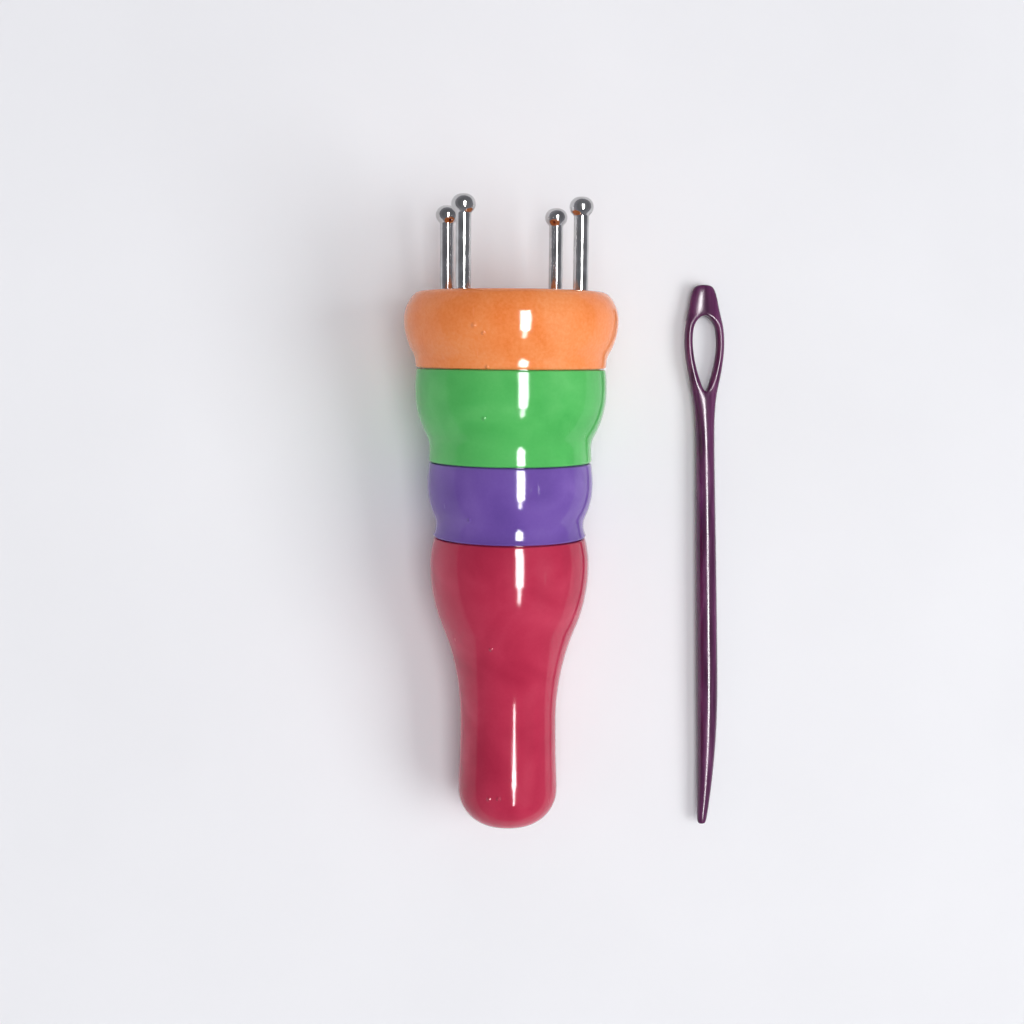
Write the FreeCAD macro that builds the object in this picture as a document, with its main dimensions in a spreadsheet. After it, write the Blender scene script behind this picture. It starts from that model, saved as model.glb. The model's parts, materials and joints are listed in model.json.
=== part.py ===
import FreeCAD, Part
import math
import os

import Sketcher

# A knitting spool for i-cord and its needle, lying side by side as a set.
# Millimetres, +Z up. The spool's pegs and the needle's eye point along +Y.
# The spool is a stack: a handle with a long tubular stem, two rings threaded
# on the stem, and a head pressed on its top, with four steel pegs in it.
# A channel for the finished cord runs through the whole stack.

os.makedirs("parts", exist_ok=True)
doc = FreeCAD.newDocument("CordMaker")

# Every rise is measured from the lower end of its own piece.
SIZES = [
    ("bore_radius", 4.25, "radius of the cord channel"),
    ("bore_lip", 0.4, "edge break where the channel opens at the foot"),
    ("wall", 2.2, "moulded wall of the shells"),
    ("deck", 2.4, "thickness of the web across the top of a ring"),
    ("seam_edge", 0.3, "edge break on both sides of a seam"),
    ("stem_radius", 6.6, "outside of the stem that carries the rings"),
    ("stem_fit", 0.1, "clearance round the stem"),
    ("stem_reach", 7.0, "how far the stem enters the head"),
    ("handle_height", 50.9, "foot to the first seam"),
    ("foot_flat", 5.3, "radius of the flat end of the foot"),
    ("foot_radius", 8.75, "widest radius of the foot"),
    ("foot_rise", 5.6, "where the foot is widest"),
    ("foot_share", 0.23, "share of the climb from neck to foot that bulges"),
    ("neck_in", 0.3, "how far the neck lies inside the foot"),
    ("neck_rise", 18.5, "where the handle is narrowest"),
    ("belly_radius", 13.85, "widest radius of the handle"),
    ("belly_drop", 5.0, "from the first seam down to the widest place"),
    ("belly_share", 0.4, "share of the climb from neck to belly that bulges"),
    ("rim_in", 0.65, "how far the handle's seam lies inside the belly"),
    ("core_depth", 13.0, "depth of the hollow round the stem"),
    ("core_draft", 0.6, "how much narrower the hollow is at its floor"),
    ("rib_width", 1.6, "thickness of a stiffening rib"),
    ("rib_drop", 1.0, "how far a rib ends below the rim"),
    ("purple_height", 13.05, "lower ring: height"),
    ("purple_step", 0.05, "lower ring: how far it stands out of the handle at their seam"),
    ("purple_nip", 0.4, "lower ring: how far the waist lies inside the lower seam"),
    ("purple_waist_rise", 2.1, "lower ring: rise of the waist"),
    ("purple_swell", 1.5, "lower ring: how far it swells above the waist"),
    ("purple_drop", 4.05, "lower ring: from the upper seam down to the widest place"),
    ("purple_share", 0.78, "lower ring: share of the climb from waist to swell that bulges"),
    ("purple_rim_in", 0.3, "lower ring: how far the upper seam lies inside the widest place"),
    ("green_height", 16.05, "upper ring: height"),
    ("green_step", 0.05, "upper ring: how far it stands out of the lower ring at their seam"),
    ("green_nip", 0.1, "upper ring: how far the waist lies inside the lower seam"),
    ("green_waist_rise", 2.6, "upper ring: rise of the waist"),
    ("green_swell", 2.5, "upper ring: how far it swells above the waist"),
    ("green_drop", 3.75, "upper ring: from the upper seam down to the widest place"),
    ("green_share", 0.8, "upper ring: share of the climb from waist to swell that bulges"),
    ("green_rim_in", 0.2, "upper ring: how far the upper seam lies inside the widest place"),
    ("head_height", 13.0, "head: height of the moulding"),
    ("head_step", 0.05, "head: how far it stands out of the upper ring at their seam"),
    ("head_nip", -0.05, "head: how far the start of the flare lies inside the seam"),
    ("head_waist_rise", 0.8, "head: rise where the flare starts"),
    ("head_swell", 2.0, "head: how far it flares"),
    ("head_drop", 4.8, "head: from the top down to the widest place"),
    ("head_share", 0.75, "head: share of the flare that bulges"),
    ("head_top_in", 2.3, "head: how far the top face's edge lies inside the widest place"),
    ("head_edge", 1.3, "head: rounding of the top edge"),
    ("head_deck", 3.0, "head: thickness of the top"),
    ("hub_wall", 2.0, "head: wall of the socket for the stem"),
    ("hub_gap", 0.4, "head: how far the socket ends above the seam"),
    ("funnel_clear", 4.6, "head: from the pegs' circle to the funnel's mouth"),
    ("funnel_throat", 1.0, "head: straight channel between stem and funnel"),
    ("funnel_edge", 1.5, "head: rounding of the funnel's mouth"),
    ("peg_inset", 2.25, "from the top face's edge to the circle that the pegs stand on"),
    ("peg_angle", 45.0, "turn of the first peg about the spool's axis"),
    ("peg_count", 4, "number of pegs"),
    ("peg_radius", 1.25, "radius of a peg's shank"),
    ("peg_fit", 0.02, "clearance of a peg in its hole"),
    ("peg_seat", 9.0, "length of peg inside the head"),
    ("peg_reach", 15.2, "length of peg above the head"),
    ("peg_end", 0.3, "edge break at the lower end of a peg"),
    ("knob_radius", 2.0, "widest radius of a peg's rounded end"),
    ("knob_curve", 1.65, "profile radius of a peg's rounded end"),
    ("boss_radius", 2.75, "radius of the boss round a peg"),
    ("boss_floor", 1.0, "material below a peg"),
    ("needle_length", 101.8, "needle: tip to the top of the eye"),
    ("needle_offset", 39.9, "needle: distance from the spool's axis"),
    ("needle_lead", 4.7, "needle: how far the tip lies past the foot"),
    ("shank_radius", 1.95, "needle: radius at the middle of the shank"),
    ("shank_neck", 1.7, "needle: radius below the eye"),
    ("shank_sink", 0.1, "needle: how far the shank's end lies inside the loop"),
    ("tip_radius", 0.87, "needle: radius of the blunt tip"),
    ("tip_flat", 0.05, "needle: radius of the flat left on the rounded tip"),
    ("tip_length", 26.8, "needle: length of the tapered and bent end"),
    ("tip_bend", 1.4, "needle: how far the tip is bent aside"),
    ("eye_thickness", 2.2, "needle: thickness of the eye's loop"),
    ("eye_edge", 0.6, "needle: rounding of the loop's edges"),
    ("loop_width", 7.9, "needle: width over the eye's loop"),
    ("loop_drop", 11.3, "needle: from the top to the loop's widest place"),
    ("loop_cap", 1.95, "needle: radius of the loop's top"),
    ("loop_length", 28.8, "needle: from the top to where the loop leaves the shank"),
    ("loop_foot", 1.35, "needle: half width of the loop where it leaves the shank"),
    ("limb_width", 1.55, "needle: width of a limb beside the eye"),
    ("eye_drop", 6.2, "needle: from the top to the upper end of the eye"),
    ("eye_cap", 1.35, "needle: radius of the eye's upper end"),
    ("eye_length", 14.6, "needle: length of the eye"),
    ("eye_heel", 0.5, "needle: radius of the eye's lower end"),
]

# Where the cross sections of the needle's tapered end lie, as shares of its length.
TAPER_SHARES = (0, 0.12, 0.3, 0.6, 1)


def fill_sheet(name, rows):
    """Put rows of alias, content and meaning into a new sheet."""
    sheet = doc.addObject("Spreadsheet::Sheet", name)
    for line, (alias, content, meaning) in enumerate(rows, start=1):
        sheet.set(f"A{line}", meaning)
        sheet.set(f"B{line}", str(content))
        sheet.setAlias(f"B{line}", alias)
    doc.recompute()
    return sheet


def s_curve(name, waist, waist_rise, bulge, bulge_rise):
    """Work out the hollow arc at a waist and the bulging arc that it runs into.

    Both arcs are upright at their own ends, so they meet on the straight line between the
    two places, and the named share of that line belongs to the bulging one.
    """
    out = f"({bulge} - {waist})"
    up = f"({bulge_rise} - {waist_rise})"
    both = f"({out}^2 + {up}^2) / (2 * {out})"
    share = f"Sizes.{name}_share"
    return [
        (f"{name}_curve", f"={both} * {share}", "bulging arc"),
        (f"{name}_hollow", f"={both} * (1 - {share})", "hollow arc"),
        (f"{name}_turn", f"={waist} + {out} * (1 - {share})", "radius where the arcs meet"),
        (f"{name}_turn_rise", f"={waist_rise} + {up} * (1 - {share})", "rise where they meet"),
    ]


def upright_arc(name, widest, widest_rise, end, end_rise):
    """Work out the arc that is upright at the widest place and reaches a given end."""
    out = f"({widest} - {end})"
    up = f"({end_rise} - {widest_rise})"
    return [(f"{name}_arc", f"=({out}^2 + {up}^2) / (2 * {out})", "profile arc")]


def band_sizes(band, seam):
    """Work out a band's radii and rises, outwards and upwards from the seam below it."""
    return [
        (f"{band}_base", f"={seam} + Sizes.{band}_step", "radius at its lower seam"),
        (f"{band}_waist", f"={band}_base - Sizes.{band}_nip", "radius of its waist"),
        (f"{band}_bulge", f"={band}_waist + Sizes.{band}_swell", "its widest radius"),
        (f"{band}_bulge_rise", f"=Sizes.{band}_height - Sizes.{band}_drop", "rise of that"),
    ]


def loop_arc(name, half_width, cap, rise):
    """Work out the side arc that is upright at the widest place and touches an end cap."""
    return [(f"{name}_arc", f"=({rise}^2 + {half_width}^2 - {cap}^2) / (2 * ({half_width} - {cap}))",
             "side arc")]


def cap_touch(name, half_width, arc, cap, rise, middle, way):
    """Work out where such a side arc touches the cap, and the cap's middle."""
    share = f"{arc} / ({arc} - {cap})"
    return [
        (f"{name}_touch", f"=({half_width} - {arc}) * (1 - {share})", "half width at the touch"),
        (f"{name}_touch_at", f"={middle} {way} {rise} * {share}", "place of the touch"),
    ]


sizes = fill_sheet("Sizes", SIZES)

WORKED = [
    ("neck_radius", "=Sizes.foot_radius - Sizes.neck_in", "narrowest radius of the handle"),
    ("belly_rise", "=Sizes.handle_height - Sizes.belly_drop", "where the handle is widest"),
    ("handle_rim", "=Sizes.belly_radius - Sizes.rim_in", "radius of the handle at its seam"),
]
WORKED += band_sizes("purple", "handle_rim")
WORKED += [("purple_rim", "=purple_bulge - Sizes.purple_rim_in", "radius at its upper seam")]
WORKED += band_sizes("green", "purple_rim")
WORKED += [("green_rim", "=green_bulge - Sizes.green_rim_in", "radius at its upper seam")]
WORKED += band_sizes("head", "green_rim")
WORKED += [
    ("head_top", "=head_bulge - Sizes.head_top_in", "radius of the top face"),
    ("peg_ring", "=head_top - Sizes.peg_inset", "radius of the circle of pegs"),
    ("funnel_radius", "=peg_ring - Sizes.funnel_clear", "mouth of the funnel"),
    ("purple_seam", "=Sizes.handle_height", "rise of the lowest seam"),
    ("green_seam", "=purple_seam + Sizes.purple_height", "rise of the middle seam"),
    ("head_seam", "=green_seam + Sizes.green_height", "rise of the seam below the head"),
    ("stem_top", "=head_seam + Sizes.stem_reach", "rise of the stem's end"),
    ("core_floor", "=Sizes.handle_height - Sizes.core_depth", "rise of the hollow's floor"),
    ("core_radius", "=purple_waist - Sizes.wall", "radius of the hollow at the seam"),
    ("stem_hole", "=Sizes.stem_radius + Sizes.stem_fit", "hole that the stem passes"),
    ("hub_radius", "=stem_hole + Sizes.hub_wall", "outside of the head's socket"),
    ("head_hollow_radius", "=head_base - Sizes.wall", "hollow of the head"),
    ("throat_rise", "=Sizes.stem_reach + Sizes.funnel_throat", "lower end of the funnel"),
    ("peg_hole", "=Sizes.peg_radius + Sizes.peg_fit", "radius of a peg's hole"),
    ("peg_x", "=peg_ring * cos(Sizes.peg_angle * 1 deg)", "first peg across"),
    ("peg_y", "=peg_ring * sin(Sizes.peg_angle * 1 deg)", "first peg along"),
    ("peg_height", "=Sizes.peg_seat + Sizes.peg_reach", "whole length of a peg"),
    ("knob_flat", "=Sizes.knob_radius - Sizes.knob_curve", "flat on top of a peg"),
    ("knob_rise", "=peg_height - Sizes.knob_curve", "where a peg's end is widest"),
    ("knob_neck_rise", "=knob_rise - sqrt(Sizes.knob_curve^2 - (Sizes.peg_radius - knob_flat)^2)",
     "where the shank enters the rounded end"),
    ("loop_half", "=Sizes.loop_width / 2", "half width over the loop"),
    ("eye_half", "=loop_half - Sizes.limb_width", "half width of the eye"),
    ("loop_at", "=Sizes.needle_length - Sizes.loop_drop", "place of the loop's widest part"),
    ("loop_cap_rise", "=Sizes.loop_drop - Sizes.loop_cap", "widest part to the cap's centre"),
    ("loop_end", "=Sizes.needle_length - Sizes.loop_length", "lower end of the loop"),
    ("eye_top", "=Sizes.needle_length - Sizes.eye_drop", "upper end of the eye"),
    ("eye_end", "=eye_top - Sizes.eye_length", "lower end of the eye"),
    ("eye_cap_rise", "=eye_top - Sizes.eye_cap - loop_at", "widest part to the cap's centre"),
    ("eye_heel_rise", "=loop_at - eye_end - Sizes.eye_heel", "widest part to the heel's centre"),
    ("loop_foot_out", "=loop_half - Sizes.loop_foot", "how far the loop swells"),
    ("loop_foot_up", "=loop_at - loop_end", "length over which it swells"),
]
WORKED += s_curve("foot", "neck_radius", "Sizes.neck_rise", "Sizes.foot_radius",
                  "Sizes.foot_rise")
WORKED += s_curve("belly", "neck_radius", "Sizes.neck_rise", "Sizes.belly_radius", "belly_rise")
WORKED += upright_arc("foot", "Sizes.foot_radius", "Sizes.foot_rise", "Sizes.foot_flat", "0")
WORKED += upright_arc("rim", "Sizes.belly_radius", "belly_rise", "handle_rim",
                      "(Sizes.handle_height - Sizes.seam_edge)")
for band in ("purple", "green", "head"):
    WORKED += s_curve(band, f"{band}_waist", f"Sizes.{band}_waist_rise", f"{band}_bulge",
                      f"{band}_bulge_rise")
WORKED += upright_arc("head", "head_bulge", "head_bulge_rise", "head_top", "Sizes.head_height")
WORKED += loop_arc("loop", "loop_half", "Sizes.loop_cap", "loop_cap_rise")
WORKED += cap_touch("loop", "loop_half", "loop_arc", "Sizes.loop_cap", "loop_cap_rise",
                    "loop_at", "+")
WORKED += loop_arc("eye", "eye_half", "Sizes.eye_cap", "eye_cap_rise")
WORKED += cap_touch("eye", "eye_half", "eye_arc", "Sizes.eye_cap", "eye_cap_rise",
                    "loop_at", "+")
WORKED += loop_arc("heel", "eye_half", "Sizes.eye_heel", "eye_heel_rise")
WORKED += cap_touch("heel", "eye_half", "heel_arc", "Sizes.eye_heel", "eye_heel_rise",
                    "loop_at", "-")
WORKED += [
    ("loop_hollow", "=(loop_foot_out^2 + loop_foot_up^2) / (2 * loop_foot_out) - loop_arc",
     "hollow arc between loop and shank"),
    ("loop_turn", "=Sizes.loop_foot + loop_foot_out * loop_hollow / (loop_hollow + loop_arc)",
     "half width where the two arcs meet"),
    ("loop_turn_at", "=loop_end + loop_foot_up * loop_hollow / (loop_hollow + loop_arc)",
     "place where the two arcs meet"),
]
worked = fill_sheet("Worked", WORKED)


def value(expression):
    """The number that an expression over the sheets gives."""
    return float(sizes.evalExpression(expression))


def new_body(label):
    body = doc.addObject("PartDesign::Body", label)
    body.Label = label
    return body


def origin_feature(body, role):
    return next(part for part in body.Origin.OriginFeatures if part.Role == role)


def new_sketch(body, name, role, rise=None):
    """A sketch on one of the body's own origin planes, lifted off it by an expression."""
    sketch = body.newObject("Sketcher::SketchObject", name)
    sketch.AttachmentSupport = [(origin_feature(body, role), "")]
    sketch.MapMode = "FlatFace"
    if rise:
        sketch.setExpression(".AttachmentOffset.Base.z", rise)
    return sketch


def bind(sketch, constraint, expression):
    """Add a constraint whose size follows an expression."""
    place = sketch.addConstraint(constraint)
    sketch.setExpression(f"Constraints[{place}]", expression)


def arc_middle(start, end, radius, side):
    """The middle of the short arc that bows to the left (1) or right (-1) of its way."""
    way = end - start
    left = FreeCAD.Vector(-way.y, way.x, 0).normalize()
    sagitta = radius - math.sqrt(radius**2 - (way.Length / 2) ** 2)
    return (start + end) / 2 + left * (side * sagitta)


def draw_outline(sketch, corners):
    """Close an outline through corners of two expressions, across and up.

    A corner that also has a radius and a side is reached by an arc that bows to that side.
    """
    points = [FreeCAD.Vector(value(corner[0]), value(corner[1]), 0) for corner in corners]
    edges = []
    for corner, end in zip(corners, points):
        start = points[points.index(end) - 1]
        if len(corner) == 2:
            edge = sketch.addGeometry(Part.LineSegment(start, end), False)
        else:
            middle = arc_middle(start, end, value(corner[2]), corner[3])
            way = (start, middle, end) if corner[3] < 0 else (end, middle, start)
            edge = sketch.addGeometry(Part.Arc(*way), False)
        backward = len(corner) == 4 and corner[3] > 0
        edges.append((edge, 2, 1) if backward else (edge, 1, 2))
    for place, (corner, point) in enumerate(zip(corners, points)):
        edge, first, last = edges[place]
        after, after_first, after_last = edges[(place + 1) % len(edges)]
        sketch.addConstraint(Sketcher.Constraint("Coincident", edge, last, after, after_first))
        for kind, number, expression in (("DistanceX", point.x, corner[0]),
                                         ("DistanceY", point.y, corner[1])):
            if expression == "0":
                axis = -2 if kind == "DistanceX" else -1
                sketch.addConstraint(Sketcher.Constraint("PointOnObject", edge, last, axis))
            else:
                bind(sketch, Sketcher.Constraint(kind, -1, 1, edge, last, number), expression)
        if len(corner) == 4:
            bind(sketch, Sketcher.Constraint("Radius", edge, value(corner[2])), corner[2])


def draw_circle(sketch, across, up, radius):
    """A circle whose centre and radius are expressions."""
    centre = FreeCAD.Vector(value(across), value(up), 0)
    edge = sketch.addGeometry(Part.Circle(centre, FreeCAD.Vector(0, 0, 1), value(radius)), False)
    for kind, number, expression in (("DistanceX", centre.x, across),
                                     ("DistanceY", centre.y, up)):
        if expression == "0":
            axis = -2 if kind == "DistanceX" else -1
            sketch.addConstraint(Sketcher.Constraint("PointOnObject", edge, 3, axis))
        else:
            bind(sketch, Sketcher.Constraint(kind, -1, 1, edge, 3, number), expression)
    bind(sketch, Sketcher.Constraint("Radius", edge, value(radius)), radius)


def revolve(body, name, corners):
    """Turn a half section about the body's own Z axis."""
    sketch = new_sketch(body, f"{name}_section", "XZ_Plane")
    draw_outline(sketch, corners)
    turned = body.newObject("PartDesign::Revolution", name)
    turned.Profile = sketch
    turned.ReferenceAxis = (sketch, ["V_Axis"])
    turned.Angle = 360
    doc.recompute()
    return turned


def pattern_round(body, name, features, count):
    """Repeat features round the body's Z axis."""
    pattern = body.newObject("PartDesign::PolarPattern", name)
    pattern.Originals = features
    pattern.Axis = (origin_feature(body, "Z_Axis"), [""])
    pattern.Angle = 360
    pattern.setExpression("Occurrences", count)
    body.Tip = pattern
    doc.recompute()
    return pattern


def ring_edges(feature, radius, rise):
    """Names of the circular edges of a feature with that radius at that rise."""
    names = []
    for number, edge in enumerate(feature.Shape.Edges, start=1):
        curve = edge.Curve
        if isinstance(curve, Part.Circle):
            off = abs(curve.Radius - radius) + abs(curve.Center.z - rise)
            if off < 1e-4:
                names.append(f"Edge{number}")
    return names


def round_edges(body, name, feature, names, radius):
    """Fillet the named edges of the body's latest feature."""
    fillet = body.newObject("PartDesign::Fillet", name)
    fillet.Base = (feature, names)
    fillet.setExpression("Radius", radius)
    doc.recompute()
    return fillet


def band_side(band):
    """The outside of a ring or of the head, from its seam up to its widest place."""
    return [
        (f"Worked.{band}_base - Sizes.seam_edge", "0"),
        (f"Worked.{band}_base", "Sizes.seam_edge"),
        (f"Worked.{band}_waist", f"Sizes.{band}_waist_rise"),
        (f"Worked.{band}_turn", f"Worked.{band}_turn_rise", f"Worked.{band}_hollow", 1),
        (f"Worked.{band}_bulge", f"Worked.{band}_bulge_rise", f"Worked.{band}_curve", -1),
    ]


def make_handle():
    """Foot, neck and belly, hollow round a stem that rises through the whole stack."""
    body = new_body("handle")
    revolve(body, "handle_turned", [
        ("Sizes.bore_radius", "Sizes.bore_lip"),
        ("Sizes.bore_radius + Sizes.bore_lip", "0"),
        ("Sizes.foot_flat", "0"),
        ("Sizes.foot_radius", "Sizes.foot_rise", "Worked.foot_arc", -1),
        ("Worked.foot_turn", "Worked.foot_turn_rise", "Worked.foot_curve", -1),
        ("Worked.neck_radius", "Sizes.neck_rise", "Worked.foot_hollow", 1),
        ("Worked.belly_turn", "Worked.belly_turn_rise", "Worked.belly_hollow", 1),
        ("Sizes.belly_radius", "Worked.belly_rise", "Worked.belly_curve", -1),
        ("Worked.handle_rim", "Sizes.handle_height - Sizes.seam_edge", "Worked.rim_arc", -1),
        ("Worked.handle_rim - Sizes.seam_edge", "Sizes.handle_height"),
        ("Worked.core_radius", "Sizes.handle_height"),
        ("Worked.core_radius - Sizes.core_draft", "Worked.core_floor"),
        ("Sizes.stem_radius", "Worked.core_floor"),
        ("Sizes.stem_radius", "Worked.stem_top - Sizes.seam_edge"),
        ("Sizes.stem_radius - Sizes.seam_edge", "Worked.stem_top"),
        ("Sizes.bore_radius", "Worked.stem_top"),
    ])
    sketch = new_sketch(body, "rib_plan", "XY_Plane", "Worked.core_floor")
    half = "Sizes.rib_width / 2"
    inner = "(Sizes.bore_radius + Sizes.stem_radius) / 2"
    outer = "Worked.core_radius + Sizes.core_draft"
    draw_outline(sketch, [
        (inner, f"-{half}"), (outer, f"-{half}"), (outer, half), (inner, half),
    ])
    rib = body.newObject("PartDesign::Pad", "rib")
    rib.Profile = sketch
    rib.setExpression("Length", "Sizes.core_depth - Sizes.rib_drop")
    doc.recompute()
    pattern_round(body, "ribs", [rib], "Sizes.peg_count")
    return body


def make_ring(band):
    """A cup with a hole for the stem in its deck, open at its lower seam."""
    body = new_body(f"{band}_ring")
    inner = f"Worked.{band}_waist - Sizes.wall"
    top = f"Sizes.{band}_height"
    revolve(body, f"{band}_turned", band_side(band) + [
        (f"Worked.{band}_rim", f"{top} - Sizes.seam_edge"),
        (f"Worked.{band}_rim - Sizes.seam_edge", top),
        ("Worked.stem_hole", top),
        ("Worked.stem_hole", f"{top} - Sizes.deck"),
        (inner, f"{top} - Sizes.deck"),
        (inner, "0"),
    ])
    return body


def make_head():
    """A shell with a funnel, a socket for the stem and a boss for each peg."""
    body = new_body("peg_head")
    top = "Sizes.head_height"
    turned = revolve(body, "head_turned", band_side("head") + [
        ("Worked.head_top", top, "Worked.head_arc", -1),
        ("Worked.funnel_radius", top),
        ("Sizes.bore_radius", "Worked.throat_rise"),
        ("Sizes.bore_radius", "Sizes.stem_reach"),
        ("Worked.stem_hole", "Sizes.stem_reach"),
        ("Worked.stem_hole", "Sizes.hub_gap"),
        ("Worked.hub_radius", "Sizes.hub_gap"),
        ("Worked.hub_radius", f"{top} - Sizes.head_deck"),
        ("Worked.head_hollow_radius", f"{top} - Sizes.head_deck"),
        ("Worked.head_hollow_radius", "0"),
    ])
    rise = value(top)
    edge = round_edges(body, "top_rounding", turned,
                       ring_edges(turned, value("Worked.head_top"), rise), "Sizes.head_edge")
    edge = round_edges(body, "mouth_rounding", edge,
                       ring_edges(edge, value("Worked.funnel_radius"), rise), "Sizes.funnel_edge")

    boss_low = f"{top} - Sizes.peg_seat - Sizes.boss_floor"
    plan = new_sketch(body, "boss_plan", "XY_Plane", boss_low)
    draw_circle(plan, "Worked.peg_x", "Worked.peg_y", "Sizes.boss_radius")
    boss = body.newObject("PartDesign::Pad", "boss")
    boss.Profile = plan
    boss.setExpression("Length", "Sizes.peg_seat + Sizes.boss_floor - Sizes.head_deck / 2")
    doc.recompute()

    plan = new_sketch(body, "hole_plan", "XY_Plane", top)
    draw_circle(plan, "Worked.peg_x", "Worked.peg_y", "Worked.peg_hole")
    hole = body.newObject("PartDesign::Pocket", "peg_hole")
    hole.Profile = plan
    hole.setExpression("Length", "Sizes.peg_seat")
    doc.recompute()
    pattern_round(body, "bosses", [boss, hole], "Sizes.peg_count")
    return body


def make_peg(number):
    """A steel pin with a rounded end that keeps the yarn on."""
    body = new_body(f"peg_{number}")
    revolve(body, f"peg_{number}_turned", [
        ("0", "0"),
        ("Sizes.peg_radius - Sizes.peg_end", "0"),
        ("Sizes.peg_radius", "Sizes.peg_end"),
        ("Sizes.peg_radius", "Worked.knob_neck_rise"),
        ("Worked.knob_flat", "Worked.peg_height", "Sizes.knob_curve", -1),
        ("0", "Worked.peg_height"),
    ])
    return body


def make_needle():
    """A round shank, bent aside at its tip, that flattens into a long eye. It lies along Y."""
    body = new_body("needle")
    plan = new_sketch(body, "loop_plan", "XY_Plane")
    draw_outline(plan, [
        ("Sizes.loop_foot", "Worked.loop_end"),
        ("Worked.loop_turn", "Worked.loop_turn_at", "Worked.loop_hollow", 1),
        ("Worked.loop_half", "Worked.loop_at", "Worked.loop_arc", -1),
        ("Worked.loop_touch", "Worked.loop_touch_at", "Worked.loop_arc", -1),
        ("0", "Sizes.needle_length", "Sizes.loop_cap", -1),
        ("-Worked.loop_touch", "Worked.loop_touch_at", "Sizes.loop_cap", -1),
        ("-Worked.loop_half", "Worked.loop_at", "Worked.loop_arc", -1),
        ("-Worked.loop_turn", "Worked.loop_turn_at", "Worked.loop_arc", -1),
        ("-Sizes.loop_foot", "Worked.loop_end", "Worked.loop_hollow", 1),
    ])
    draw_outline(plan, [
        ("Worked.heel_touch", "Worked.heel_touch_at", "Sizes.eye_heel", -1),
        ("Worked.eye_half", "Worked.loop_at", "Worked.heel_arc", -1),
        ("Worked.eye_touch", "Worked.eye_touch_at", "Worked.eye_arc", -1),
        ("0", "Worked.eye_top", "Sizes.eye_cap", -1),
        ("-Worked.eye_touch", "Worked.eye_touch_at", "Sizes.eye_cap", -1),
        ("-Worked.eye_half", "Worked.loop_at", "Worked.eye_arc", -1),
        ("-Worked.heel_touch", "Worked.heel_touch_at", "Worked.heel_arc", -1),
        ("0", "Worked.eye_end", "Sizes.eye_heel", -1),
    ])
    pad = body.newObject("PartDesign::Pad", "loop")
    pad.Profile = plan
    pad.Midplane = True
    pad.setExpression("Length", "Sizes.eye_thickness")
    doc.recompute()
    flat = [f"Edge{number}" for number, edge in enumerate(pad.Shape.Edges, start=1)
            if edge.BoundBox.ZLength < 1e-6]
    round_edges(body, "loop_rounding", pad, flat, "Sizes.eye_edge")

    sections = []
    for share in TAPER_SHARES:
        sections.append((
            f"Sizes.tip_length * {share}",
            f"-Sizes.tip_bend * (1 - {share})^2",
            f"Sizes.tip_radius + (Sizes.shank_radius - Sizes.tip_radius) * sin({share} * 90 deg)",
        ))
    sections[-1] = (sections[-1][0], "0", "Sizes.shank_radius")
    sections += [
        ("(Sizes.tip_length + Worked.loop_end) / 2", "0",
         "(2 * Sizes.shank_radius + Sizes.shank_neck) / 3"),
        ("Worked.loop_end", "0", "Sizes.shank_neck"),
        ("Worked.eye_end - Sizes.eye_heel", "0", "Sizes.eye_thickness / 2 - Sizes.shank_sink"),
    ]
    circles = []
    for number, (place, across, radius) in enumerate(sections):
        circle = new_sketch(body, f"shank_section_{number}", "XZ_Plane", f"-({place})")
        draw_circle(circle, across, "0", radius)
        circles.append(circle)
    shank = body.newObject("PartDesign::AdditiveLoft", "shank")
    shank.Profile = circles[0]
    shank.Sections = circles[1:]
    doc.recompute()

    end = [f"Edge{number}" for number, edge in enumerate(shank.Shape.Edges, start=1)
           if edge.BoundBox.YMax < 1e-4]
    round_edges(body, "tip_rounding", shank, end, "Sizes.tip_radius - Sizes.tip_flat")
    return body


def resting_lean():
    """Lean of the spool's axis as it lies on its head and on the belly or the foot.

    A floor line touches two arcs of the profile. The lower end of the axis sinks until the
    first of belly and foot touches, so the smaller lean is the one that it rests at.
    """
    head = ("Worked.head_bulge - Worked.head_curve", "Worked.head_seam + Worked.head_bulge_rise",
            "Worked.head_curve")
    belly = ("Sizes.belly_radius - Worked.belly_curve", "Worked.belly_rise", "Worked.belly_curve")
    foot = ("Sizes.foot_radius - Worked.foot_arc", "Sizes.foot_rise", "Worked.foot_arc")
    leans = []
    for other in (belly, foot):
        out, along, curve = (value(high) - value(low) for high, low in zip(head, other))
        leans.append(math.atan2(out, along) - math.asin(-curve / math.hypot(out, along)))
    return math.degrees(min(leans))


def box_of(bodies):
    return Part.makeCompound([body.Shape for body in bodies]).optimalBoundingBox(False, False)


handle = make_handle()
purple = make_ring("purple")
green = make_ring("green")
head = make_head()
pegs = [make_peg(number + 1) for number in range(round(value("Sizes.peg_count")))]
needle = make_needle()
spool = [handle, purple, green, head] + pegs

lying = FreeCAD.Placement(FreeCAD.Vector(),
                          FreeCAD.Rotation(FreeCAD.Vector(1, 0, 0), resting_lean() - 90))
upright = FreeCAD.Rotation()
for body, rise in ((handle, "0"), (purple, "Worked.purple_seam"), (green, "Worked.green_seam"),
                   (head, "Worked.head_seam")):
    body.Placement = lying * FreeCAD.Placement(FreeCAD.Vector(0, 0, value(rise)), upright)
for number, peg in enumerate(pegs):
    turn = math.radians(value("Sizes.peg_angle") + 360 * number / len(pegs))
    reach = value("Worked.peg_ring")
    seat = value("Worked.head_seam + Sizes.head_height - Sizes.peg_seat")
    foot = FreeCAD.Vector(reach * math.cos(turn), reach * math.sin(turn), seat)
    peg.Placement = lying * FreeCAD.Placement(foot, upright)
needle.Placement = FreeCAD.Placement(
    FreeCAD.Vector(value("Sizes.needle_offset"), -value("Sizes.needle_lead"), 0), upright)
doc.recompute()

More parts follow.
